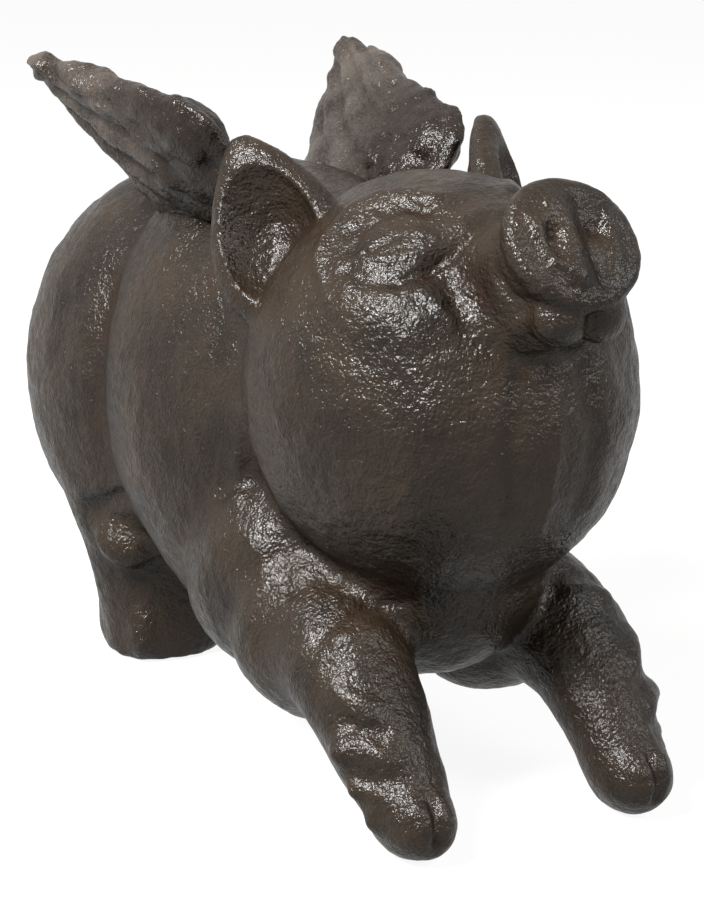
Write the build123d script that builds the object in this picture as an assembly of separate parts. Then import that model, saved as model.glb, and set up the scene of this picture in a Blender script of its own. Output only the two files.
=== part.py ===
from build123d import *
import math
import os

os.makedirs("parts", exist_ok=True)

# Winged pig figurine, cast in iron in two hollow halves that meet on the plane X = 0.
# The pig faces -Y, its left side is +X, and its soles stand on Z = 0. All sizes are millimetres.
# Side, back and front are distances from the middle of the figure, and rise is height above the soles.

# Casting
wall = 4.6
overrun = 4.0
fit_gap = 0.15
thread_gap = 0.05

# Rump, a flattened ball that is round as seen from the side
rump_width = 57.0
rump_diameter = 75.0
rump_back = 42.5
rump_rise = 48.0

# Loin, the rear end of the flank's mass, inside the rump
loin_width = 40.0
loin_height = 56.0
loin_back = 45.0
loin_rise = 47.0

# Waist, the valley between the rump and the flank
waist_width = 53.0
waist_height = 69.0
waist_back = 27.0
waist_rise = 48.0
waist_lean = 14.0

# Shoulder and flank, a leaning bulge from the withers down to the elbows
shoulder_width = 61.0
shoulder_height = 88.0
shoulder_back = 7.0
shoulder_rise = 49.5
shoulder_lean = 29.0

# Neck, the crease behind the jowl and ears
neck_width = 51.0
neck_height = 66.0
neck_front = 15.0
neck_rise = 60.0
neck_lean = 22.0

# Throat, the front end of the flank's mass, inside the head
throat_width = 40.0
throat_height = 50.0
throat_front = 34.0
throat_rise = 62.0

# Head with the jowl, a flattened ball like the rump
head_width = 59.0
head_diameter = 66.5
head_front = 39.5
head_rise = 64.0

# How round the rims of the head and rump are, as shares of half their widths
head_rim_share = 0.75
rump_rim_share = 0.88

# Angle of each section's ellipse that is used, more than the half turn that is kept, in even steps
section_sweep = 240
section_steps = 8

# Snout, a flared muzzle that points up and forward from the middle of the head
snout_pitch = 38.5
snout_reach = 47.0
muzzle_root_radius = 16.0
muzzle_root_reach = 24.0
muzzle_neck_radius = 9.2
disc_radius = 10.6
disc_thickness = 5.0
disc_round = 1.6
nostril_radius = 1.7
nostril_depth = 1.5
nostril_side = 3.6

# Lower lip, a pad under the disc
lip_width = 16.0
lip_diameter = 11.0
lip_drop = 8.0
lip_reach = 38.5

# Eye, an almond bulge on the side of the brow, placed from the head's middle
eye_length = 9.0
eye_diameter = 6.0
eye_side = 13.0
eye_ahead = 10.0
eye_lift = 25.0

# Ear, a cupped leaf placed from the head's middle; facing is where its hollow looks, turned
# from the side and lifted
ear_side = 20.0
ear_behind = 13.0
ear_lift = 19.0
ear_tip_side = 22.0
ear_tip_behind = 23.9
ear_tip_lift = 35.5
ear_base_width = 22.0
ear_base_thickness = 10.0
ear_tip_width = 5.0
ear_tip_thickness = 3.0
ear_root = 5.0
ear_cup_depth = 3.6
ear_cup_diameter = 14.0
ear_facing_turn = 30.0
ear_facing_lift = 13.0
ear_middle_shares = (0.35, 0.92, 0.84)
ear_cup_shares = (0.3, 1.15)

# Foreleg, a bent limb from the elbow through the forearm and wrist to the foot
elbow_side = 15.0
elbow_front = 31.0
elbow_rise = 25.0
elbow_radius = 15.0
elbow_ring_share = 0.85
foot_ring_share = 0.8
forearm_side = 19.0
forearm_front = 45.6
forearm_rise = 23.5
forearm_radius = 10.2
wrist_side = 19.8
wrist_front = 58.8
wrist_rise = 14.0
wrist_radius = 7.6
forefoot_side = 19.4
forefoot_front = 65.6
forefoot_rise = 6.0
forefoot_diameter = 13.2
forefoot_length = 17.0
cleft_rise = 12.0

# Hind leg, a round ham that narrows to a short upright leg, which is square with soft corners
ham_radius = 14.2
haunch_side = 15.2
haunch_back = 42.0
haunch_rise = 31.0
haunch_radius = 12.5
hock_side = 12.0
hock_back = 39.0
hock_rise = 16.0
hock_radius = 10.4
hindfoot_side = 10.6
hindfoot_back = 37.5
hindfoot_radius = 9.0
hind_corner_share = 0.55

# Hoof clefts
cleft_width = 1.6
cleft_depth = 4.5

# Tail, a small curl of iron at the rear of the rump, just left of the seam
tail_ring_radius = 4.6
tail_radius = 2.1
tail_side = 3.4
tail_rise = 62.0

# Clamp screw, which draws the two halves together, with its square nut
screw_radius = 2.4
screw_head_radius = 4.6
screw_head_height = 3.2
screw_slot_width = 1.2
screw_slot_depth = 1.4
screw_sink = 6.0
screw_back = 14.0
screw_rise = 46.0
boss_radius = 8.0
nut_width = 9.5
nut_thickness = 4.0
nut_inset = 9.0
screw_tail = 3.0

# Register studs, cast on the right half, and their sockets in the left one
stud_radius = 2.0
stud_length = 3.0
stud_boss_radius = 4.5
stud_boss_length = 9.0

# Wings, separate castings whose roots follow the back. Raise lifts one and dip lowers its rear
# end in degrees, because the two don't stand alike
wing_side = 14.5
wing_back = 9.5
wing_lean = 33.0
wing_sweep = 4.0
right_wing_length = 52.0
left_wing_length = 57.0
wing_height = 26.0
wing_thickness = 9.5
blade_share = 0.7
wing_front = 20.5
wing_root = 12.0
right_wing_raise = 4.5
right_wing_dip = 5.7
left_wing_raise = 0.5
left_wing_dip = 0.0
knob_length = 14.0
knob_diameter = 10.5
knob_share = 0.45
feather_diameter = 6.4
feather_pitch = 16.0

# Each row is a level of the wing: its height, its front and rear ends and its thickness
wing_level_shares = (
    (0.0, 0.03, 0.8, 1.0),
    (0.33, 0.0, 0.88, 0.95),
    (0.58, 0.02, 0.95, 0.8),
    (0.72, 0.21, 0.98, 0.66),
    (0.84, 0.48, 0.985, 0.5),
    (0.93, 0.72, 1.0, 0.38),
    (1.0, 0.88, 1.0, 0.22),
)

# Each row is a feather: the height and place of its middle, its length and its diameter
feather_shares = (
    (0.3, 0.48, 0.84, 1.0),
    (0.62, 0.64, 0.66, 0.85),
)

# Wing fixing, a round tenon through the back with a washer and a screw from inside
tenon_radius = 3.2
tenon_short = 0.6
wing_boss_depth = 11.0
wing_boss_rim = 1.0
washer_radius = 6.4
washer_thickness = 1.6
wing_screw_radius = 1.5
wing_screw_head_radius = 3.0
wing_screw_head_height = 2.6
wing_screw_grip = 7.0


def spindle(length, diameter):
    """An egg-like solid of revolution whose axis lies along X."""
    upper = Pos(0, diameter / 2, 0) * Rectangle(2 * length, diameter)
    return revolve(Ellipse(length / 2, diameter / 2) & upper, axis=Axis.X)


def section(side, across, middle, lean):
    """The part of a leaning ellipse on one side of the seam, with a strip beyond the seam."""
    lean = math.radians(lean)
    place = Plane(
        origin=(0, middle[0], middle[1]),
        x_dir=(1, 0, 0),
        z_dir=(0, -math.cos(lean), math.sin(lean)),
    )
    steps = [i / section_steps for i in range(section_steps + 1)]
    points = []
    for step in steps:
        turn = math.radians(90 - 90 * side + section_sweep * (step - 0.5))
        points.append(Vector(across[0] / 2 * math.cos(turn), across[1] / 2 * math.sin(turn)))
    arc = Edge.make_spline(points, parameters=steps)
    return place * make_face([arc, Edge.make_line(arc @ 1, arc @ 0)])


def flank(side, inset):
    """The mass between rump and head, drawn in by inset, as a loft through leaning sections."""
    both = 2 * inset
    loin = (loin_width - both, loin_height - both)
    waist = (waist_width - both, waist_height - both)
    shoulder = (shoulder_width - both, shoulder_height - both)
    neck = (neck_width - both, neck_height - both)
    throat = (throat_width - both, throat_height - both)
    return loft(
        [
            section(side, loin, (loin_back, loin_rise), 0),
            section(side, waist, (waist_back, waist_rise), waist_lean),
            section(side, shoulder, (shoulder_back, shoulder_rise), shoulder_lean),
            section(side, neck, (-neck_front, neck_rise), neck_lean),
            section(side, throat, (-throat_front, throat_rise), 0),
        ]
    )


def ball(side, width, diameter, rim_share):
    """A flattened ball round the X axis: a flat cheek arc that runs into a rounder rim arc."""
    rim = rim_share * width / 2
    out = diameter / 2 - rim
    left = width / 2 - rim
    cheek = (out**2 - left**2) / (2 * left)
    turn = math.degrees(math.atan2(out, cheek))
    arc_end = section_sweep / 2
    side_arc = CenterArc((-cheek, 0), width / 2 + cheek, 0, turn)
    rim_arc = CenterArc((0, out), rim, turn, arc_end - turn)
    foot = ((rim_arc @ 1).X, 0)
    profile = make_face([side_arc, rim_arc, Line(rim_arc @ 1, foot), Line(foot, side_arc @ 0)])
    return Rot(0, 0, 90 - 90 * side) * revolve(profile, axis=Axis.X)


def ball_hollow(side, width, diameter):
    """The hollow inside a ball, in three cone-shaped bands that leave the wall full."""
    points = [(-overrun, 0), (-overrun, diameter / 2 - wall)]
    for turn in (0, 30, 60, 90):
        turn = math.radians(turn)
        points.append(((width / 2 - wall) * math.sin(turn), (diameter / 2 - wall) * math.cos(turn)))
    return Rot(0, 0, 90 - 90 * side) * revolve(make_face(Polyline(*points, close=True)), axis=Axis.X)


def trunk(side):
    """Half of the body's outer form: the head and the rump on the flank."""
    head = Pos(0, -head_front, head_rise) * ball(side, head_width, head_diameter, head_rim_share)
    rump = Pos(0, rump_back, rump_rise) * ball(side, rump_width, rump_diameter, rump_rim_share)
    return (flank(side, 0) + [head, rump]) & half_space(side)


def crest(width, height, middle, lean, across):
    """The upper point of a leaning section at a distance from the seam: back and rise."""
    rise = height / 2 * math.sqrt(1 - (2 * across / width) ** 2)
    lean = math.radians(lean)
    return middle[0] + rise * math.sin(lean), middle[1] + rise * math.cos(lean)


def back_rise(across, back):
    """Height of the back between the neck's section and the shoulder's."""
    low = crest(neck_width, neck_height, (-neck_front, neck_rise), neck_lean, across)
    high = crest(shoulder_width, shoulder_height, (shoulder_back, shoulder_rise), shoulder_lean, across)
    return low[1] + (high[1] - low[1]) * (back - low[0]) / (high[0] - low[0])


def half_space(side):
    """A block that fills the space on one side of the seam."""
    span = 2 * (head_diameter + shoulder_height + rump_diameter + left_wing_length)
    return Pos(side * span / 2, 0, span / 2) * Box(span, span, span)


def snout(side):
    """Muzzle and disc, revolved about the line from the head's centre to the disc."""
    pitch = math.radians(snout_pitch)
    place = Plane(
        origin=(0, -head_front, head_rise),
        x_dir=(1, 0, 0),
        z_dir=(0, -math.cos(pitch), math.sin(pitch)),
    )
    neck_reach = snout_reach - disc_thickness
    rim_reach = snout_reach - disc_thickness / 2
    with BuildSketch(Plane.XZ) as profile:
        with BuildLine():
            Line((0, muzzle_root_reach), (muzzle_root_radius, muzzle_root_reach))
            Spline(
                (muzzle_root_radius, muzzle_root_reach),
                (muzzle_neck_radius, neck_reach),
                (disc_radius, rim_reach),
            )
            Line((disc_radius, rim_reach), (disc_radius, snout_reach))
            Line((disc_radius, snout_reach), (0, snout_reach))
            Line((0, snout_reach), (0, muzzle_root_reach))
        make_face()
    body = Rot(0, 0, 90 + 90 * side) * revolve(profile.sketch, axis=Axis.Z)
    rim = body.edges().filter_by(GeomType.CIRCLE).sort_by(Axis.Z)[-1]
    body = fillet(rim, disc_round)
    body -= Pos(side * nostril_side, 0, snout_reach) * Cylinder(nostril_radius, 2 * nostril_depth)
    lip = Pos(0, -lip_drop, lip_reach) * spindle(lip_width, lip_diameter)
    return (place * (body + lip)) & half_space(side)


def ear(side):
    """One ear: a tapering leaf with a hollow on the side that it faces."""
    base = Vector(side * ear_side, ear_behind - head_front, head_rise + ear_lift)
    tip = Vector(side * ear_tip_side, ear_tip_behind - head_front, head_rise + ear_tip_lift)
    length = (tip - base).length
    axis = (tip - base).normalized()
    turn = math.radians(ear_facing_turn)
    lift = math.radians(ear_facing_lift)
    facing = Vector(
        side * math.cos(turn) * math.cos(lift), -math.sin(turn) * math.cos(lift), math.sin(lift)
    )
    place = Plane(origin=base, x_dir=facing.cross(axis), z_dir=axis)
    along_share, width_share, thickness_share = ear_middle_shares
    leaf = loft(
        [
            Pos(0, 0, -ear_root) * Ellipse(ear_base_width / 2, ear_base_thickness / 2),
            Pos(0, 0, length * along_share)
            * Ellipse(ear_base_width * width_share / 2, ear_base_thickness * thickness_share / 2),
            Pos(0, 0, length) * Ellipse(ear_tip_width / 2, ear_tip_thickness / 2),
        ]
    )
    cup_along_share, cup_length_share = ear_cup_shares
    cup_out = ear_base_thickness / 2 + ear_cup_diameter / 2 - ear_cup_depth
    cup = spindle(length * cup_length_share, ear_cup_diameter)
    return place * (leaf - Pos(0, cup_out, length * cup_along_share) * Rot(0, -90, 0) * cup)


def limb(side, stations):
    """A loft through outlines set square to the line that joins their centres."""
    rings = []
    for i, (centre, outline) in enumerate(stations):
        before = stations[max(i - 1, 0)][0]
        after = stations[min(i + 1, len(stations) - 1)][0]
        inwards = (-side, 0, 0)
        rings.append(Plane(origin=centre, x_dir=inwards, z_dir=after - before) * outline)
    return loft(rings)


def cleft(across, front, height):
    """The slot that parts the two toes of a foot."""
    return Pos(across, front, height / 2) * Box(cleft_width, 2 * cleft_depth, height)


def foreleg(side):
    """One foreleg: a rounded elbow, a bent limb and a two-toed foot."""
    elbow = Vector(side * elbow_side, -elbow_front, elbow_rise)
    forearm = Vector(side * forearm_side, -forearm_front, forearm_rise)
    wrist = Vector(side * wrist_side, -wrist_front, wrist_rise)
    foot = Vector(side * forefoot_side, -forefoot_front, forefoot_rise)
    stations = [
        (elbow, Circle(elbow_radius * elbow_ring_share)),
        (forearm, Circle(forearm_radius)),
        (wrist, Circle(wrist_radius)),
        (foot, Circle(wrist_radius * foot_ring_share)),
    ]
    leg = limb(side, stations)
    point = Pos(*elbow) * Sphere(elbow_radius)
    hoof = Pos(*foot) * Rot(0, 0, 90) * spindle(forefoot_length, forefoot_diameter)
    toe_front = -forefoot_front - forefoot_length / 2
    return leg + [point, hoof] - cleft(side * forefoot_side, toe_front, cleft_rise)


def hindleg(side):
    """One hind leg: a ham that narrows to a hock and a short upright foot."""
    haunch = Vector(side * haunch_side, haunch_back, haunch_rise)
    hock = Vector(side * hock_side, hock_back, hock_rise)
    foot = Vector(side * hindfoot_side, hindfoot_back, 0)
    stations = []
    for centre, radius in ((haunch, haunch_radius), (hock, hock_radius), (foot, hindfoot_radius)):
        stations.append((centre, RectangleRounded(2 * radius, 2 * radius, radius * hind_corner_share)))
    leg = limb(side, stations) + Pos(*haunch) * Sphere(ham_radius)
    toe_front = hindfoot_back - hindfoot_radius
    return leg - cleft(side * hindfoot_side, toe_front, cleft_rise)


def half_form(side):
    """One half's outer form: half of the trunk with its own legs, ear and eye."""
    eye = Rot(0, 0, 90) * spindle(eye_length, eye_diameter)
    eye = Pos(side * eye_side, -head_front - eye_ahead, head_rise + eye_lift) * eye
    limbs = (foreleg(side) + hindleg(side)) & half_space(side)
    face = snout(side) + [ear(side), eye]
    return trunk(side) + limbs + face


def wing_place(side):
    """The wing's own frame: X runs rearwards along the root and Z away from the back."""
    foot = Pos(side * wing_side, wing_back, back_rise(wing_side, wing_back))
    return foot * Rot(0, side * wing_lean, 0) * Rot(0, 0, 90 - side * wing_sweep)


def wing_bore(side, radius, low, high):
    """A round bar on a wing's fixing axis, between two heights over the back."""
    return wing_place(side) * Pos(0, 0, (low + high) / 2) * Cylinder(radius, high - low)


def cross_bar(radius, low, high):
    """A round bar on the clamp screw's axis, between two distances from the seam."""
    return (
        Pos((low + high) / 2, screw_back, screw_rise)
        * Rot(0, 90, 0)
        * Cylinder(radius, high - low)
    )


def stud_spots():
    """Where the register studs stand: at the back of the rump and at the throat."""
    inset = wall + stud_boss_radius / 2
    return [
        (rump_back + rump_diameter / 2 - inset, rump_rise),
        (-head_front - head_diameter / 2 + inset, head_rise),
    ]


def stud_bar(spot, radius, low, high):
    """A round bar across the seam at one stud."""
    return Pos((low + high) / 2, *spot) * Rot(0, 90, 0) * Cylinder(radius, high - low)


def half_core(side):
    """One half's hollow, less the screw's boss and the wing's boss that stand in it."""
    head = Pos(0, -head_front, head_rise) * ball_hollow(side, head_width, head_diameter)
    rump = Pos(0, rump_back, rump_rise) * ball_hollow(side, rump_width, rump_diameter)
    core = (flank(side, wall) + [head, rump]) & half_space(side)
    core -= cross_bar(boss_radius, -shoulder_width / 2, shoulder_width / 2)
    return core - wing_bore(side, washer_radius + wing_boss_rim, -wing_boss_depth, overrun)


def half_shell(side):
    """One hollow half with its stud bosses and the hole for the wing's tenon."""
    form = half_form(side)
    shell = form - half_core(side)
    for spot in stud_spots():
        near, far = sorted((0, side * stud_boss_length))
        shell += stud_bar(spot, stud_boss_radius, near, far) & form
    return shell - wing_bore(side, tenon_radius + fit_gap, -wing_boss_depth, wall + wing_root)


def wing(side):
    """One wing: a swept blade with overlapping feathers and a round leading knob."""
    wing_length, rise, dip = (
        (right_wing_length, right_wing_raise, right_wing_dip)
        if side < 0
        else (left_wing_length, left_wing_raise, left_wing_dip)
    )
    levels = [(-wing_root / wing_height,) + wing_level_shares[0][1:]] + list(wing_level_shares)
    rings = []
    for height_share, front_share, rear_share, thickness_share in levels:
        length = wing_length * (rear_share - front_share)
        middle = wing_length * (front_share + rear_share) / 2 - wing_front
        ring = Ellipse(length / 2, wing_thickness * thickness_share * blade_share / 2)
        rings.append(Pos(middle, 0, wing_height * height_share) * ring)
    blade = loft(rings)
    knob = Pos(knob_length / 2 - wing_front, 0, wing_height * knob_share) * spindle(
        knob_length, knob_diameter
    )
    feathers = []
    for height_share, middle_share, length_share, diameter_share in feather_shares:
        place = Pos(wing_length * middle_share - wing_front, 0, wing_height * height_share)
        feather = spindle(wing_length * length_share, feather_diameter * diameter_share)
        feathers.append(place * Rot(0, -feather_pitch, 0) * feather)
    blade = wing_place(side) * Pos(0, 0, rise) * Rot(0, dip, 0) * (blade + [knob] + feathers)
    blade -= trunk(side)
    blade = blade.solids().sort_by(SortBy.VOLUME)[-1]
    grip_top = wing_screw_grip - wing_boss_depth
    tenon = wing_bore(side, tenon_radius, tenon_short - wing_boss_depth, overrun)
    return blade + tenon - wing_bore(side, wing_screw_radius + thread_gap, -wing_boss_depth, grip_top)


def wing_washer(side):
    """The washer that bears on the boss under a wing's tenon."""
    low = -wing_boss_depth - washer_thickness
    ring = wing_bore(side, washer_radius, low, -wing_boss_depth)
    return ring - wing_bore(side, wing_screw_radius + fit_gap, low, -wing_boss_depth)


def wing_screw(side):
    """A wing's slotted screw, with its head inside the body."""
    head_top = -wing_boss_depth - washer_thickness
    head_low = head_top - wing_screw_head_height
    tip = wing_screw_grip - wing_boss_depth - tenon_short
    head = wing_bore(side, wing_screw_head_radius, head_low, head_top)
    slot = wing_place(side) * Pos(0, 0, head_low) * Box(
        2 * wing_screw_head_radius, screw_slot_width, 2 * screw_slot_depth
    )
    return head + wing_bore(side, wing_screw_radius, head_top, tip) - slot


def clamp_screw():
    """The slotted screw that enters the left flank and ends beyond the nut."""
    shank = cross_bar(screw_radius, clamp_tip, clamp_seat)
    head = cross_bar(screw_head_radius, clamp_seat, clamp_seat + screw_head_height)
    slot = Pos(clamp_seat + screw_head_height, screw_back, screw_rise) * Box(
        2 * screw_slot_depth, 2 * screw_head_radius, screw_slot_width
    )
    return shank + head - slot


def clamp_nut():
    """The square nut, which bears on the seam side of its pocket."""
    block = Pos(-nut_inset - nut_thickness / 2, screw_back, screw_rise) * Box(
        nut_thickness, nut_width, nut_width
    )
    return block - cross_bar(screw_radius + thread_gap, -nut_inset - nut_thickness, -nut_inset)


def nut_pocket():
    """The slot in the right boss that the nut slides down into."""
    low = screw_rise - nut_width / 2 - fit_gap
    high = screw_rise + boss_radius + overrun
    depth = nut_thickness + fit_gap
    return Pos(-nut_inset - depth / 2, screw_back, (low + high) / 2) * Box(
        depth, nut_width + 2 * fit_gap, high - low
    )


def tail():
    """A curl that stands out of the rump's rear, with its inner half buried in the rump."""
    rise = tail_rise - rump_rise
    reach = rump_diameter / 2 * math.sqrt(1 - (2 * tail_side / rump_width) ** 2)
    place = Pos(tail_side, rump_back + math.sqrt(reach**2 - rise**2), tail_rise)
    return place * Rot(0, 90, 0) * Torus(tail_ring_radius, tail_radius)


clamp_seat = shoulder_width / 2 - screw_sink
clamp_tip = -nut_inset - nut_thickness - screw_tail

right_half = half_shell(-1) - nut_pocket()
right_half -= cross_bar(screw_radius + fit_gap, clamp_tip - fit_gap, overrun)
left_half = half_shell(1) + tail()
left_half -= cross_bar(screw_radius + fit_gap, -overrun, clamp_seat)
left_half -= cross_bar(screw_head_radius + fit_gap, clamp_seat, shoulder_width)
for spot in stud_spots():
    right_half += stud_bar(spot, stud_radius, -stud_length, stud_length)
    left_half -= stud_bar(spot, stud_radius + fit_gap, -overrun, stud_length + fit_gap)

nodes = {
    "right_half": right_half,
    "left_half": left_half,
    "right_wing": wing(-1),
    "left_wing": wing(1),
    "right_wing_washer": wing_washer(-1),
    "left_wing_washer": wing_washer(1),
    "right_wing_screw": wing_screw(-1),
    "left_wing_screw": wing_screw(1),
    "clamp_screw": clamp_screw(),
    "clamp_nut": clamp_nut(),
}

# The figure is set over the origin by its own box
corners = [shape.bounding_box() for shape in nodes.values()]
middle_x = (min(box.min.X for box in corners) + max(box.max.X for box in corners)) / 2
middle_y = (min(box.min.Y for box in corners) + max(box.max.Y for box in corners)) / 2
lowest = min(box.min.Z for box in corners)
print("moved by", -middle_x, -middle_y, -lowest)
for name, shape in nodes.items():
    placed = Pos(-middle_x, -middle_y, -lowest) * shape
    solids = placed.solids()
    print(name, len(solids), round(placed.volume, 1), placed.is_valid)
    export_step(solids[0] if len(solids) == 1 else placed, f"parts/{name}.step")
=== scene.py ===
import math

import bpy
import numpy as np
from mathutils import Matrix, Vector


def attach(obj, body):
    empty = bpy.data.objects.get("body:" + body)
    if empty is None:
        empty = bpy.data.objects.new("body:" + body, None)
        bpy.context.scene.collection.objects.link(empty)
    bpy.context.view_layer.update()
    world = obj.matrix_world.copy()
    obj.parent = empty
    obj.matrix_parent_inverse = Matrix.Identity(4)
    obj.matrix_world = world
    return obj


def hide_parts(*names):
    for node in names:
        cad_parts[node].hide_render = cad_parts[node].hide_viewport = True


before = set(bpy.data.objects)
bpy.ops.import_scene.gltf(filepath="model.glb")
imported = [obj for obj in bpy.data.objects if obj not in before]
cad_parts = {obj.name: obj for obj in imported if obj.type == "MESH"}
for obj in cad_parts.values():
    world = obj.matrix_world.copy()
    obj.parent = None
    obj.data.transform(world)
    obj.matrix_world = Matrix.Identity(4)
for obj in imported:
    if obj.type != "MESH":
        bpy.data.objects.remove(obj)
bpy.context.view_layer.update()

# The body's masses.
# The pig is cast in iron from a hand-modelled pattern. Head, rump, flank and chest are round
# masses that grow into each other, each a little heavier than a live pig's.
MM = 0.001


def pick(*pieces):
    """Selects these pieces and nothing else."""
    bpy.ops.object.select_all(action="DESELECT")
    for piece in pieces:
        piece.select_set(True)
    if pieces:
        bpy.context.view_layer.objects.active = pieces[0]


def settle(piece):
    """Puts a piece's place, turn and size into its mesh."""
    pick(piece)
    bpy.ops.object.transform_apply(location=True, rotation=True, scale=True)
    return piece


def ball(name, centre, radii, turn=(0, 0, 0)):
    """A ball stretched to three radii in millimetres, turned by degrees."""
    pick()
    bpy.ops.mesh.primitive_uv_sphere_add(segments=64, ring_count=32, radius=MM)
    piece = bpy.context.object
    piece.name = name
    piece.scale = radii
    piece.rotation_euler = [math.radians(angle) for angle in turn]
    piece.location = Vector(centre) * MM
    return settle(piece)


def rings(name, stations, sides=40):
    """A closed skin bridged through rings, each given as a centre, a normal and two radii."""
    loops = []
    for centre, normal, radii in stations:
        pick()
        bpy.ops.mesh.primitive_circle_add(vertices=sides, radius=MM, fill_type="NOTHING")
        loop = bpy.context.object
        loop.scale = (radii[0], radii[1], 1)
        loop.rotation_euler = Vector(normal).to_track_quat("Z", "Y").to_euler()
        loop.location = Vector(centre) * MM
        loops.append(settle(loop))
    pick(*loops)
    bpy.ops.object.join()
    piece = bpy.context.object
    piece.name = name
    bpy.ops.object.mode_set(mode="EDIT")
    bpy.ops.mesh.select_all(action="SELECT")
    bpy.ops.mesh.bridge_edge_loops(
        type="SINGLE", number_cuts=3, interpolation="SURFACE", smoothness=1.0
    )
    # The two open ends get their caps.
    bpy.ops.mesh.select_all(action="DESELECT")
    bpy.ops.mesh.select_mode(type="EDGE")
    bpy.ops.mesh.select_non_manifold()
    bpy.ops.mesh.edge_face_add()
    bpy.ops.mesh.select_all(action="SELECT")
    bpy.ops.mesh.normals_make_consistent(inside=False)
    bpy.ops.mesh.select_mode(type="VERT")
    bpy.ops.object.mode_set(mode="OBJECT")
    return piece


def fuse(name, pieces, voxel, rounds):
    """Joins pieces into one skin of even quads, with the joints smoothed over."""
    pick(*pieces)
    bpy.ops.object.join()
    piece = bpy.context.object
    piece.name = name
    piece.data.remesh_voxel_size = voxel * MM
    bpy.ops.object.voxel_remesh()
    bpy.ops.object.modifier_add(type="SMOOTH")
    piece.modifiers[-1].factor = 0.5
    piece.modifiers[-1].iterations = rounds
    bpy.ops.object.modifier_apply(modifier=piece.modifiers[-1].name)
    return piece


def leaning(degrees):
    """The normal of a section whose top leans back by that many degrees."""
    return (0, math.cos(math.radians(degrees)), -math.sin(math.radians(degrees)))


head_middle = Vector((0, -39.5, 64))
masses = [
    ball("head_mass", head_middle, (29.5, 33.2, 33.2)),
    ball("rump_mass", (0, 42.5, 48), (29.2, 37.3, 37.3)),
    ball("chest_mass", (0, -36, 38), (19, 21, 21)),
    rings(
        "flank_mass",
        [
            ((0, 45, 47), leaning(0), (20, 28)),
            ((0, 27, 48), leaning(14), (26.5, 34.5)),
            ((0, 7, 49.5), leaning(29), (30.5, 44)),
            ((0, -15, 60), leaning(22), (25.5, 33)),
            ((0, -34, 62), leaning(0), (20, 25)),
        ],
    ),
]

# The legs.
# They are part of the same casting. The forelegs stretch forwards from round elbows, and the
# hind legs are short, square and upright under round hams.
foot_width, foot_height, foot_corner = 18.4, 11, 3.2
for side in (-1, 1):
    masses.append(ball("elbow", (side * 15, -31, 25), (15, 15, 15)))
    masses.append(ball("upper_arm", (side * 14.2, -17, 31), (15.5, 21, 17), (-35, 0, 0)))
    masses.append(
        rings(
            "foreleg",
            [
                ((side * 15, -30, 25), (side * 0.15, -1, 0), (13, 13)),
                ((side * 19, -45.6, 23.5), (side * 0.12, -0.9, -0.3), (10.2, 10.2)),
                ((side * 19.8, -58.8, 14), (0, -0.75, -0.6), (7.9, 7.6)),
                ((side * 19.4, -65.6, 7), (0, -0.6, -0.8), (6.7, 6.2)),
            ],
        )
    )
    masses.append(ball("forefoot", (side * 19.4, -66, 6.2), (6.2, 8.6, 6.5)))
    masses.append(ball("ham", (side * 15.0, 41, 34), (12.4, 12.6, 12.5)))
    masses.append(ball("thigh", (side * 12.6, 43.0, 38.6), (15.8, 16.6, 16.6)))
    masses.append(
        rings(
            "hind_leg",
            [
                ((side * 13, 41, 30), (0, -0.2, -1), (13.5, 13.5)),
                ((side * 11.8, 38.2, 16), (0, -0.1, -1), (11.0, 11.0)),
                ((side * 10.8, 37.5, 7), (0, 0, -1), (10.3, 10.3)),
                ((side * 10.6, 37.5, 0.1), (0, 0, -1), (9.8, 9.8)),
            ],
            sides=24,
        )
    )
    # The knee is a flat knob that points up and outwards.
    knee_axis = Vector((side * 0.551, -0.584, 0.597)).to_track_quat("Z", "Y").to_euler()
    knee_turn = [math.degrees(angle) for angle in knee_axis]
    masses.append(ball("knee", (side * 19.4, 31.2, 23.8), (6.2, 6.2, 4.0), knee_turn))
    # The foot is a soft-cornered block.
    pick()
    bpy.ops.mesh.primitive_cube_add(size=MM, location=(side * 10.6 * MM, 37.5 * MM, 5.8 * MM))
    foot = bpy.context.object
    foot.name = "hind_foot"
    foot.scale = (foot_width, foot_width, foot_height)
    settle(foot)
    bpy.ops.object.mode_set(mode="EDIT")
    bpy.ops.mesh.select_all(action="SELECT")
    bpy.ops.mesh.bevel(offset=foot_corner * MM, segments=5)
    bpy.ops.object.mode_set(mode="OBJECT")
    masses.append(foot)
body = fuse("body_casting", masses, voxel=1.1, rounds=9)

# The snout, lower lip, ears and tail.
# They stand on the same casting with tighter roundings: a flared muzzle that points up, two
# lobes of a lip under its disc, two cupped leaves and a curl at the rear.
snout_pitch = 38.5
pitch = math.radians(snout_pitch)
snout_axis = Vector((0, -math.cos(pitch), math.sin(pitch)))
disc_reach = 47


def on_snout(reach, across=0, up=0):
    """A point given along the snout's axis from the head's middle, across it and up it."""
    lift = Vector((across, up * math.sin(pitch), up * math.cos(pitch)))
    return head_middle + snout_axis * reach + lift


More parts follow.
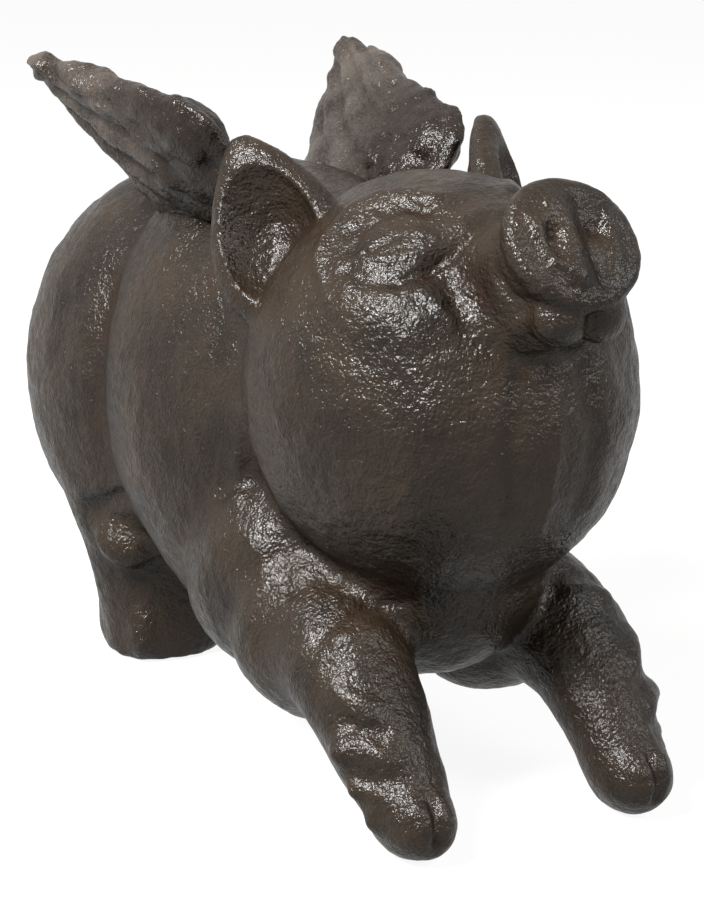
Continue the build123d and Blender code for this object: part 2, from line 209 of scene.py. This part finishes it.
features = [
    body,
    rings(
        "snout",
        [
            (on_snout(22), snout_axis, (17, 17)),
            (on_snout(30), snout_axis, (12.4, 12.0)),
            (on_snout(36), snout_axis, (9.9, 9.4)),
            (on_snout(41), snout_axis, (9.2, 9.0)),
            (on_snout(44), snout_axis, (10.5, 10.5)),
            (on_snout(46.2), snout_axis, (10.5, 10.5)),
            (on_snout(disc_reach), snout_axis, (9.4, 9.4)),
        ],
    ),
]
for side in (-1, 1):
    lip_turn = (-snout_pitch, 0, 0)
    lip_place = on_snout(40.8, side * 3.4, -8.8)
    chin_place = on_snout(33.5, side * 2.6, -6.4)
    features.append(ball("lip_lobe", lip_place, (4.3, 4.4, 4.4), lip_turn))
    features.append(ball("chin", chin_place, (5.4, 8.0, 4.2), lip_turn))
    # An ear is a leaf with a ball cut out of its front.
    ear_root = Vector((side * 20, -26.5, 83))
    ear_axis = (Vector((side * 22.0, -15.6, 99.5)) - ear_root).normalized()
    facing = Vector((side * 0.7, -0.68, 0.22))
    across = facing.cross(ear_axis).normalized()
    outwards = ear_axis.cross(across)
    ear_place = Matrix((across, outwards, ear_axis)).transposed().to_4x4()
    ear_place.translation = ear_root * MM
    leaf = rings(
        "ear",
        [
            ((0, 0, -8), (0, 0, 1), (8.2, 4.6)),
            ((0, 0, -3), (0, 0, 1), (10.6, 5.2)),
            ((0, 0, 3), (0, 0, 1), (11.2, 5.0)),
            ((0, 0, 9), (0, 0, 1), (9.6, 4.2)),
            ((0, 0, 14.5), (0, 0, 1), (6.6, 3.2)),
            ((0, 0, 18.5), (0, 0, 1), (3.6, 2.2)),
            ((0, 0, 20.6), (0, 0, 1), (1.5, 1.2)),
        ],
    )
    cup = ball("ear_hollow", (0, 6.4, 3.6), (8.6, 7.4, 13.2))
    pick(leaf)
    bpy.ops.object.modifier_add(type="BOOLEAN")
    leaf.modifiers[-1].operation = "DIFFERENCE"
    leaf.modifiers[-1].object = cup
    bpy.ops.object.modifier_apply(modifier=leaf.modifiers[-1].name)
    bpy.data.objects.remove(cup)
    leaf.matrix_world = ear_place
    features.append(settle(leaf))
pick()
bpy.ops.mesh.primitive_torus_add(
    major_radius=4.6 * MM,
    minor_radius=2.1 * MM,
    location=(3.4 * MM, 77.2 * MM, 62 * MM),
    rotation=(0, math.radians(90), 0),
)
tail = bpy.context.object
tail.name = "tail"
features.append(settle(tail))
body = fuse("body_casting", features, voxel=0.62, rounds=2)

# The figure is set over the frame's origin, as the castings are.
seam, setback = 0.205, -0.733
body.location = (seam * MM, setback * MM, 0)
settle(body)

# The modelled relief.
# The pattern maker's tool marks, cast with the iron: lids and brows, hollows beside the
# muzzle, knuckles on the legs, clefts between the toes and the streaks of the throat.


def work(piece, strokes, weights=(1, 1, 1)):
    """Raises or sinks the skin along strokes, and keeps the relief as an attribute in mm."""
    mesh = piece.data
    flat = np.empty(len(mesh.vertices) * 3)
    mesh.vertices.foreach_get("co", flat)
    points = flat.reshape(-1, 3) / MM
    normals = np.empty(len(mesh.vertices) * 3)
    mesh.vertices.foreach_get("normal", normals)
    normals = normals.reshape(-1, 3)
    relief = np.zeros(len(points))
    weights = np.array(weights, dtype=float)
    for height, radius, line in strokes:
        line = np.array(line, dtype=float)
        # A single point is a round dab.
        if len(line) == 1:
            line = np.concatenate([line, line + 1e-6])
        low = line.min(axis=0) - 3 * radius
        high = line.max(axis=0) + 3 * radius
        inside = ((points > low) & (points < high)) | (weights == 0)
        near = np.where(np.all(inside, axis=1))[0]
        nearest = np.full(len(near), np.inf)
        for start, end in zip(line[:-1], line[1:]):
            run = (end - start) * weights
            offset = (points[near] - start) * weights
            share = np.clip(offset @ run / (run @ run), 0, 1)
            distance = np.linalg.norm(offset - share[:, None] * run, axis=1)
            nearest = np.minimum(nearest, distance)
        relief[near] += height * np.exp(-((nearest / radius) ** 2))
    mesh.vertices.foreach_set("co", ((points + normals * relief[:, None]) * MM).ravel())
    # The material paints the sunk places darker from this attribute, as pooled lacquer and as
    # painted shade.
    kept = mesh.attributes.new("relief", "FLOAT", "POINT")
    kept.data.foreach_set("value", relief)
    mesh.update()


def on_disc(across, up, reach=disc_reach):
    """A point on the snout's disc where the figure stands now."""
    return on_snout(reach, across, up) + Vector((seam, setback, 0))


# Each stroke is a height and a radius in millimetres, and the line that the tool follows.
# A height below zero sinks.
right_strokes = [
    # The brow, the groove under it, the lids with the eye between them, and the lower groove.
    (0.6, 1.5, [
        (-22.2, -41.4, 85.5), (-18.7, -39.4, 89.4), (-14.8, -38.4, 92.5),
        (-11.6, -40.5, 94.4), (-9.0, -44.2, 95.2), (-7.0, -48.5, 95.0),
    ]),
    (-0.7, 1.2, [
        (-19.3, -46.6, 88.0), (-16.7, -44.8, 90.7), (-13.7, -45.6, 92.7),
        (-10.8, -48.0, 93.8), (-8.7, -51.4, 93.6),
    ]),
    (0.7, 0.9, [
        (-18.7, -49.6, 87.6), (-16.5, -49.3, 89.7), (-14.1, -50.9, 91.0),
        (-11.8, -53.4, 91.2), (-10.3, -56.0, 90.7),
    ]),
    (0.8, 1.9, [(-16.2, -52.3, 88.6), (-12.8, -54.6, 90.1)]),
    (0.5, 0.8, [
        (-18.8, -50.9, 87.0), (-16.8, -53.9, 87.3), (-14.4, -56.0, 88.1), (-11.1, -56.8, 89.7),
    ]),
    (-0.8, 1.1, [
        (-20.8, -49.3, 85.4), (-20.0, -53.7, 84.0), (-17.2, -57.1, 84.7),
        (-13.3, -58.9, 86.8), (-9.8, -59.1, 88.8), (-6.8, -59.1, 90.6),
    ]),
    # The full cheek, the hollow beside the muzzle, its raised edge and the creases round it.
    (1.4, 5.0, [(-22.3, -52.0, 81.9), (-20.1, -56.4, 81.6), (-17.7, -60.8, 80.5)]),
    (-1.5, 4.0, [(-11.2, -63.1, 85.6), (-10.7, -66.3, 84.1)]),
    (0.9, 1.4, [
        (-14.9, -61.2, 84.4), (-13.7, -62.4, 83.1), (-13.5, -63.7, 81.5), (-12.6, -65.2, 80.3),
    ]),
    (-0.45, 1.2, [(-14.7, -59.8, 84.8), (-13.3, -58.9, 86.8), (-11.5, -58.5, 88.3)]),
    (-0.7, 0.9, [(-9.0, -70.9, 87.7), (-8.1, -72.8, 85.1), (-7.5, -76.6, 83.5)]),
    # The throat's streak, the fold behind the jowl and the dip behind the flank.
    (-0.7, 1.8, [
        (-7.9, -76.9, 81.0), (-5.7, -71.6, 72.4), (-7.2, -72.3, 63.8), (-6.4, -70.5, 52.0),
    ]),
    (-0.9, 2.0, [
        (-26.9, -27.6, 61.9), (-23.0, -21.4, 48.7), (-20.5, -20.7, 38.4), (-24.8, -38.1, 34.1),
    ]),
    (1.1, 2.1, [(-25.2, -20.0, 50.0), (-24.0, -21.5, 41.0), (-25.9, -33.0, 36.5)]),
    (-0.7, 4.2, [
        (-22.8, 29.6, 67.6), (-25.9, 26.4, 58.2), (-26.4, 25.5, 46.3), (-24.5, 26.8, 35.1),
    ]),
    # The wrinkles of the temple and forehead, and the bridge of the snout.
    (0.5, 1.1, [(-23.9, -48.2, 81.3), (-22.6, -43.4, 84.7), (-19.7, -40.5, 88.4)]),
    (-0.5, 0.9, [
        (-17.9, -43.3, 90.0), (-14.0, -43.0, 92.9), (-10.7, -46.2, 94.2), (-8.4, -50.4, 94.0),
    ]),
    (0.5, 2.0, [(-2.5, -54.8, 93.6), (-6.6, -56.4, 91.9)]),
    # The ledge of the ham over the knee.
    (0.9, 1.5, [(-25.8, 36.4, 30.0), (-24.9, 30.9, 32.5), (-24.0, 25.8, 34.6)]),
    (-0.6, 1.8, [(-25.1, 36.3, 28.1), (-24.0, 30.5, 30.6), (-23.1, 24.5, 32.9)]),
    # The foreleg: three knobs on its outer side, the fold at its top, knuckles and the cleft.
    (1.5, 1.9, [(-27.4, -59.7, 15.0)]),
    (1.3, 1.8, [(-26.6, -62.9, 10.5)]),
    (1.0, 1.6, [(-25.4, -65.7, 5.9)]),
    (-0.6, 1.5, [
        (-25.6, -49.8, 29.7), (-22.2, -49.2, 32.5), (-16.5, -48.9, 33.4), (-12.1, -52.1, 34.0),
    ]),
    (0.8, 2.4, [(-23.2, -52.5, 30.1), (-17.2, -52.5, 31.1)]),
    (0.75, 1.9, [(-26.1, -56.2, 23.4), (-23.5, -61.4, 21.7)]),
    (-0.7, 1.5, [(-26.6, -59.6, 19.6), (-23.0, -64.2, 18.8)]),
    (0.65, 1.9, [(-27.2, -60.9, 16.2), (-23.9, -65.7, 16.0)]),
    (-0.7, 1.5, [(-26.8, -63.6, 12.6), (-23.5, -68.6, 13.2)]),
    (-1.3, 0.9, [(-19.2, -72.2, 12.0), (-19.4, -74.8, 7.5), (-19.4, -74.8, 1.0)]),
    # Broad dips on the hind leg's outer side and front, and a deeper cup in the ear. Their
    # sinking makes painted shade there, through the darker colour of the hollows.
    (-0.5, 4.5, [(-21.5, 33.0, 15.0), (-20.0, 32.0, 6.0)]),
    (-0.5, 4.5, [(-12.0, 28.0, 13.0), (-10.0, 28.0, 6.0)]),
    (-0.9, 4.6, [(-20.2, -24.0, 88.0), (-20.0, -27.0, 84.0)]),
    # The nostril and the rim's lump beside it.
    (-1.2, 1.5, [on_disc(-3.5, 1.4)]),
    (0.7, 1.1, [on_disc(-6.4, 3.5), on_disc(-5.6, -3.6)]),
]
# The throat's middle ridge, the disc's uneven lumps and the parting of the lip.
middle_strokes = [
    (0.6, 1.4, [(0.2, -80.0, 79.1), (0.2, -73.2, 69.0), (0.2, -73.2, 59.0), (0.2, -70.0, 46.7)]),
    (0.7, 1.5, [on_disc(-3.2, 5.6), on_disc(-5.4, 2.0)]),
    (0.7, 1.4, [on_disc(-4.8, -3.4), on_disc(-2.0, -6.4)]),
    (-0.45, 1.2, [on_disc(2.4, 6.0), on_disc(1.4, 0), on_disc(2.2, -7.0)]),
    (1.2, 2.2, [on_disc(-1.2, 6.5), on_disc(-1.8, -5.5)]),
    (-0.6, 0.9, [on_disc(0, -11.0, reach=44), on_disc(0, -14.0, reach=41)]),
]
left_strokes = [
    (height, radius, [(2 * seam - x, y, z) for x, y, z in line])
    for height, radius, line in right_strokes
]
work(body, right_strokes + left_strokes + middle_strokes)


def lumps(piece, size, height):
    """Uneven hand-modelled lumps of a size and height in millimetres."""
    pattern = bpy.data.textures.new(f"lumps_{size}", "CLOUDS")
    pattern.noise_scale = size * MM
    pattern.noise_depth = 1
    pick(piece)
    bpy.ops.object.modifier_add(type="DISPLACE")
    piece.modifiers[-1].texture = pattern
    piece.modifiers[-1].texture_coords = "LOCAL"
    piece.modifiers[-1].strength = height * MM
    piece.modifiers[-1].mid_level = 0.5
    bpy.ops.object.modifier_apply(modifier=piece.modifiers[-1].name)


lumps(body, 9.0, 0.9)
lumps(body, 2.2, 0.3)
pick(body)
body.data.use_remesh_preserve_attributes = True
body.data.remesh_voxel_size = 0.6 * MM
bpy.ops.object.voxel_remesh()

# The two castings.
# The pattern is split on the middle plane, and each half is poured in iron as a hollow shell.
# A counterbore in the left flank lets in the head of the screw that clamps them.
right_half = body
left_half = body.copy()
left_half.data = body.data.copy()
bpy.context.collection.objects.link(left_half)
right_half.name = "right_half_casting"
left_half.name = "left_half_casting"
for half, direction in ((right_half, -1), (left_half, 1)):
    pick(half)
    bpy.ops.object.mode_set(mode="EDIT")
    bpy.ops.mesh.select_all(action="SELECT")
    bpy.ops.mesh.bisect(
        plane_co=(seam * MM, 0, 0),
        plane_no=(direction, 0, 0),
        use_fill=True,
        clear_inner=True,
        threshold=0.001 * MM,
    )
    bpy.ops.mesh.quads_convert_to_tris(ngon_method="CLIP")
    bpy.ops.object.mode_set(mode="OBJECT")
bore_radius, bore_length, bore_floor = 4.75, 10, 24.5
screw_back, screw_up = 14, 46
pick()
bpy.ops.mesh.primitive_cylinder_add(
    vertices=72,
    radius=bore_radius * MM,
    depth=bore_length * MM,
    location=(
        (bore_floor + seam + bore_length / 2) * MM,
        (screw_back + setback) * MM,
        screw_up * MM,
    ),
    rotation=(0, math.radians(90), 0),
)
bore = bpy.context.object
pick(left_half)
bpy.ops.object.modifier_add(type="BOOLEAN")
left_half.modifiers[-1].operation = "DIFFERENCE"
left_half.modifiers[-1].object = bore
bpy.ops.object.modifier_apply(modifier=left_half.modifiers[-1].name)
bpy.data.objects.remove(bore)


def linear(code):
    """An sRGB hex colour as linear values."""
    parts = [int(code[i : i + 2], 16) / 255 for i in (1, 3, 5)]
    return [c / 12.92 if c <= 0.04045 else ((c + 0.055) / 1.055) ** 2.4 for c in parts] + [1]


def node(tree, kind, settings=(), links=()):
    """Adds a node with its settings and its links, each from an input to an output socket."""
    new = tree.nodes.new(kind)
    for key, value in dict(settings).items():
        if isinstance(key, int) or key in new.inputs:
            new.inputs[key].default_value = value
        else:
            setattr(new, key, value)
    for key, socket in dict(links).items():
        tree.links.new(socket, new.inputs[key])
    return new


# Grey iron from a sand mould under a thick brown gloss lacquer. The sand's grain is drawn
# about half a millimetre wide, twice as coarse as it is, so that it shows. The brush leaves
# the lacquer uneven, so highlights break into sparks. The sunk places are painted darker:
# partly lacquer that pools in the hollows, partly painted shade in the creases and dips.
patch_size, speck_size, brush_size, grain_size = 11.11, 0.4348, 1.613, 0.5263
iron = bpy.data.materials.new("brown_lacquered_cast_iron")
iron.use_nodes = True
tree = iron.node_tree
tree.nodes.clear()
coordinates = node(tree, "ShaderNodeTexCoord")
place = coordinates.outputs["Object"]
patches = node(
    tree, "ShaderNodeTexNoise", {"Scale": 1 / (patch_size * MM), "Detail": 5.0}, {"Vector": place}
)
speckle = node(
    tree, "ShaderNodeTexNoise", {"Scale": 1 / (speck_size * MM), "Detail": 1.0}, {"Vector": place}
)
mottle = node(
    tree,
    "ShaderNodeMath",
    {"operation": "MULTIPLY_ADD", 1: 0.5},
    {0: speckle.outputs["Fac"], 2: patches.outputs["Fac"]},
)
blend = node(
    tree, "ShaderNodeMapRange", {"From Min": 0.55, "From Max": 0.92}, {"Value": mottle.outputs[0]}
)
brown = node(
    tree,
    "ShaderNodeMix",
    {"data_type": "RGBA", 6: linear("#0e0905"), 7: linear("#1e160e")},
    {0: blend.outputs["Result"]},
)
relief = node(tree, "ShaderNodeAttribute", {"attribute_name": "relief"})
# Painted shade with pooled lacquer: the deeper the relief sinks the skin, the darker its colour.
hollow = node(
    tree,
    "ShaderNodeMapRange",
    {"From Min": -0.2, "From Max": -1.2},
    {"Value": relief.outputs["Fac"]},
)
pooled_lacquer_and_shade = node(
    tree,
    "ShaderNodeMix",
    {"data_type": "RGBA", 7: linear("#140a04")},
    {0: hollow.outputs["Result"], 6: brown.outputs[2]},
)
brushed = node(
    tree, "ShaderNodeTexNoise", {"Scale": 1 / (brush_size * MM), "Detail": 3.0}, {"Vector": place}
)
grain = node(
    tree, "ShaderNodeTexNoise", {"Scale": 1 / (grain_size * MM), "Detail": 2.0}, {"Vector": place}
)
coarse = node(
    tree,
    "ShaderNodeBump",
    {"Strength": 0.8, "Distance": 0.6 * MM},
    {"Height": brushed.outputs["Fac"]},
)
fine = node(
    tree,
    "ShaderNodeBump",
    {"Strength": 1.0, "Distance": 0.26 * MM},
    {"Height": grain.outputs["Fac"], "Normal": coarse.outputs["Normal"]},
)
dull = node(
    tree,
    "ShaderNodeMapRange",
    {"From Min": 0.3, "From Max": 0.7, "To Min": 0.38, "To Max": 0.6},
    {"Value": brushed.outputs["Fac"]},
)
# The gloss is the lacquer's clear coat. What lies under it is dull and hardly shines.
shader = node(
    tree,
    "ShaderNodeBsdfPrincipled",
    {"Specular IOR Level": 0.07, "Coat Weight": 0.25, "Coat Roughness": 0.07, "Coat IOR": 1.5},
    {
        "Base Color": pooled_lacquer_and_shade.outputs[2],
        "Roughness": dull.outputs["Result"],
        "Normal": fine.outputs["Normal"],
        "Coat Normal": fine.outputs["Normal"],
    },
)
node(tree, "ShaderNodeOutputMaterial", {}, {"Surface": shader.outputs["BSDF"]})


def dress(piece, material):
    """Gives a made piece its material and smooth shading with crisp edges."""
    piece.data.materials.clear()
    piece.data.materials.append(material)
    pick(piece)
    bpy.ops.object.shade_smooth_by_angle(angle=math.radians(55))


for half, name in ((right_half, "right_half"), (left_half, "left_half")):
    dress(half, iron)
    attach(half, "root")
    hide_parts(name)

# The wings.
# Two separate iron castings that rise from the shoulders and sweep back and outwards. Each
# has a round knuckle in front and three rows of long feathers, and is screwed on from inside.

# The same lacquer on iron, full on the knuckle, and thin and greyer on the feathers behind it.
thin = iron.copy()
thin.name = "thinly_lacquered_cast_iron"
tree = thin.node_tree
wing_place = node(
    tree, "ShaderNodeSeparateXYZ", {}, {0: tree.nodes[coordinates.name].outputs["Object"]}
)
behind = node(
    tree,
    "ShaderNodeMapRange",
    {"From Min": 4 * MM, "From Max": 22 * MM},
    {"Value": wing_place.outputs["Y"]},
)
worn = node(
    tree,
    "ShaderNodeMath",
    {"operation": "MULTIPLY"},
    {0: behind.outputs["Result"], 1: tree.nodes[blend.name].outputs["Result"]},
)
coat = tree.nodes[brown.name]
coat.inputs[6].default_value = linear("#120b06")
coat.inputs[7].default_value = linear("#39332e")
tree.links.new(worn.outputs[0], coat.inputs[0])

# A wing is modelled upright along X and then turned into place. Each level of its blade has a
# height, the shares of the length where it starts and ends, and a share of the thickness.
full_length, half_thickness, front_end = 57, 3.9, -20.5
levels = [
    (-4.0, 0.05, 0.78, 0.9),
    (0.0, 0.03, 0.8, 1.0),
    (8.6, 0.0, 0.88, 0.95),
    (15.1, 0.02, 0.95, 0.8),
    (18.7, 0.24, 0.98, 0.66),
    (21.8, 0.55, 0.985, 0.56),
    (24.2, 0.8, 1.0, 0.5),
    (25.8, 0.9, 1.0, 0.42),
]
# Each row of feathers has its middle along the wing, its height and half its length.
feathers = ((8.0, 17.4, 21.0), (9.5, 12.0, 23.0), (8.0, 6.2, 21.0))
# The grooves between the feathers and the ridges along them, in the wing's own plane.
wing_strokes = [
    (-0.7, 1.1, ((33, 24.5), (12, 15.0), (-6, 8.5))),
    (-0.7, 1.0, ((33.5, 21), (14, 9.0), (-4, 2.0))),
    (-0.6, 1.0, ((32, 16), (22, 8.0), (12, 0.5))),
    (0.8, 1.2, ((16, 22.5), (2, 15.0), (-5, 4.0))),
    (0.5, 1.5, ((33, 22.8), (13, 12.0), (-5, 5.0))),
    (0.5, 1.5, ((33, 18.5), (18, 8.0), (4, 0.5))),
    (0.35, 1.8, ((34, 25.8), (20, 20.5), (8, 16.8))),
    (-0.7, 0.9, ((28, 25.0), (15, 20.5), (6, 18.5))),
]
# The wings stand on the back beside the seam and lean outwards, and their tips point a
# little apart. The right one is shorter, stands higher and dips at its tip.
foot_out, foot_back, foot_up = 14.5, 9.5, 84.3
lean, spread = 33, 4
pair = ((-1, "right_wing", 52, 4.5, 5.7), (1, "left_wing", full_length, 0.5, 0))
for side, name, length, rise, dip in pair:
    scale = length / full_length
    stations = []
    for height, front, rear, thickness in levels:
        middle = length * (front + rear) / 2 + front_end
        radii = (length * (rear - front) / 2, half_thickness * thickness)
        stations.append(((middle, 0, height), (0, 0, 1), radii))
    parts = [
        rings("blade", stations, sides=48),
        ball("knuckle", (-10.5, 0, 11.6), (8.6, 4.5, 5.6), (0, -28, 0)),
        ball("wing_tip", (length - 23.2, 0, 23.8), (2.8, 1.9, 2.1)),
        ball("shoulder_of_wing", (-6.0, 0, 7.0), (13.5, 4.8, 8.5), (0, -28, 0)),
    ]
    for x, z, reach in feathers:
        parts.append(ball("feather", (x * scale, 0, z), (reach * scale, 3.0, 3.4), (0, -22, 0)))
    wing = fuse(f"{name}_casting", parts, voxel=0.5, rounds=3)
    strokes = [
        (height, radius, [(x * scale, 0, z) for x, z in line])
        for height, radius, line in wing_strokes
    ]
    work(wing, strokes, weights=(1, 0, 1))
    lumps(wing, 6.5, 1.4)
    lumps(wing, 3.2, 0.4)
    lumps(wing, 1.7, 0.3)
    wing.matrix_world = (
        Matrix.Translation(Vector((side * foot_out + seam, foot_back + setback, foot_up)) * MM)
        @ Matrix.Rotation(math.radians(side * lean), 4, "Y")
        @ Matrix.Rotation(math.radians(90 - side * spread), 4, "Z")
        @ Matrix.Translation(Vector((0, 0, rise)) * MM)
        @ Matrix.Rotation(math.radians(dip), 4, "Y")
    )
    settle(wing)
    dress(wing, thin)
    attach(wing, "root")
    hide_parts(name)

# The fasteners.
# The clamp screw is lacquered with the figure. The nut, washers and wing screws sit inside
# the shell and stay bare: turned steel with the fine marks that the tool leaves.
mark_size, film_size = 0.3333, 4.545
steel = bpy.data.materials.new("turned_steel")
steel.use_nodes = True
tree = steel.node_tree
tree.nodes.clear()
place = node(tree, "ShaderNodeTexCoord").outputs["Object"]
marks = node(
    tree, "ShaderNodeTexNoise", {"Scale": 1 / (mark_size * MM), "Detail": 2.0}, {"Vector": place}
)
film = node(
    tree, "ShaderNodeTexNoise", {"Scale": 1 / (film_size * MM), "Detail": 4.0}, {"Vector": place}
)
tint = node(
    tree,
    "ShaderNodeMix",
    {"data_type": "RGBA", 6: linear("#8b8781"), 7: linear("#a5a29c")},
    {0: film.outputs["Fac"]},
)
smooth = node(
    tree, "ShaderNodeMapRange", {"To Min": 0.28, "To Max": 0.48}, {"Value": film.outputs["Fac"]}
)
scored = node(
    tree,
    "ShaderNodeBump",
    {"Strength": 0.3, "Distance": 0.04 * MM},
    {"Height": marks.outputs["Fac"]},
)
shader = node(
    tree,
    "ShaderNodeBsdfPrincipled",
    {"Metallic": 1.0},
    {
        "Base Color": tint.outputs[2],
        "Roughness": smooth.outputs["Result"],
        "Normal": scored.outputs["Normal"],
    },
)
node(tree, "ShaderNodeOutputMaterial", {}, {"Surface": shader.outputs["BSDF"]})
for name, finish in (
    ("clamp_screw", iron),
    ("clamp_nut", steel),
    ("right_wing_washer", steel),
    ("left_wing_washer", steel),
    ("right_wing_screw", steel),
    ("left_wing_screw", steel),
):
    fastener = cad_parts[name]
    fastener.data.materials.clear()
    fastener.data.materials.append(finish)

# The table and the air.
# A white paper table with white paper all round, as for a catalogue picture. The camera and
# the gloss see it white, and only a dim light from it falls on the figure.
pick()
bpy.ops.mesh.primitive_plane_add(size=8)
table = bpy.context.object
table.name = "studio_table"


def shown(tree):
    """1 for the rays that see, mirror or look through to the background, otherwise 0."""
    rays = node(tree, "ShaderNodeLightPath")
    socket = rays.outputs["Is Camera Ray"]
    for ray in ("Is Glossy Ray", "Is Transmission Ray"):
        either = node(
            tree,
            "ShaderNodeMath",
            {"operation": "ADD", "use_clamp": True},
            {0: socket, 1: rays.outputs[ray]},
        )
        socket = either.outputs[0]
    return socket


# Matt white paper, partly shown as bright as the background, so that only a soft shadow of
# the figure stays on it.
paper = bpy.data.materials.new("white_paper")
paper.use_nodes = True
tree = paper.node_tree
tree.nodes.clear()
matt = node(tree, "ShaderNodeBsdfDiffuse", {"Color": linear("#989896")})
glow = node(tree, "ShaderNodeEmission", {"Color": linear("#ffffff"), "Strength": 1.31})
share = node(tree, "ShaderNodeMath", {"operation": "MULTIPLY", 1: 0.7}, {0: shown(tree)})
mixed = node(
    tree,
    "ShaderNodeMixShader",
    {},
    {0: share.outputs[0], 1: matt.outputs["BSDF"], 2: glow.outputs["Emission"]},
)
node(tree, "ShaderNodeOutputMaterial", {}, {"Surface": mixed.outputs["Shader"]})
table.data.materials.append(paper)

world = bpy.data.worlds.new("studio_air")
bpy.context.scene.world = world
world.use_nodes = True
tree = world.node_tree
tree.nodes.clear()
air = node(tree, "ShaderNodeBackground", {"Color": linear("#ffffff"), "Strength": 0.14})
white = node(tree, "ShaderNodeBackground", {"Color": linear("#ffffff"), "Strength": 1.0})
mixed = node(
    tree,
    "ShaderNodeMixShader",
    {},
    {0: shown(tree), 1: air.outputs["Background"], 2: white.outputs["Background"]},
)
node(tree, "ShaderNodeOutputWorld", {}, {"Surface": mixed.outputs["Shader"]})

# The lamps.
# A strong softbox high on the figure's right, which makes the sparks on the lacquer, and a
# weak, wider one in front on its left.


def softbox(name, place, size, power):
    """A square area lamp of a size in millimetres and a power in watts, facing the figure."""
    pick()
    bpy.ops.object.light_add(type="AREA", location=Vector(place) * MM)
    light = bpy.context.object
    light.name = name
    light.data.shape = "SQUARE"
    light.data.size = size * MM
    light.data.energy = power
    aim = Vector((0, 0, 50)) - Vector(place)
    light.rotation_euler = aim.to_track_quat("-Z", "Y").to_euler()


softbox("softbox_right", (-430, -90, 530), 230, 20.5)
softbox("softbox_front", (300, -500, 420), 340, 4.5)

# The camera.
# It stands in front of the figure, 30 degrees round to its right and 15 degrees above, with
# a long lens. Its right and back axes and its place are given in the figure's frame.
picture_width, lens_in_pixels, sensor_width = 704, 3000, 36
view = bpy.data.cameras.new("photo_camera")
camera = bpy.data.objects.new("photo_camera", view)
bpy.context.scene.collection.objects.link(camera)
right = Vector((0.871, -0.490, 0.010)).normalized()
back = Vector((-0.475, -0.839, 0.264))
back = (back - right * back.dot(right)).normalized()
up = back.cross(right)
camera.matrix_world = (
    Matrix.Translation(Vector((-231.7, -422.9, 175.5)) * MM)
    @ Matrix((right, up, back)).transposed().to_4x4()
)
view.sensor_fit = "HORIZONTAL"
view.sensor_width = sensor_width
view.lens = lens_in_pixels / picture_width * sensor_width
view.clip_start = 0.01
bpy.context.scene.camera = camera
bpy.context.scene.view_settings.view_transform = "Standard"
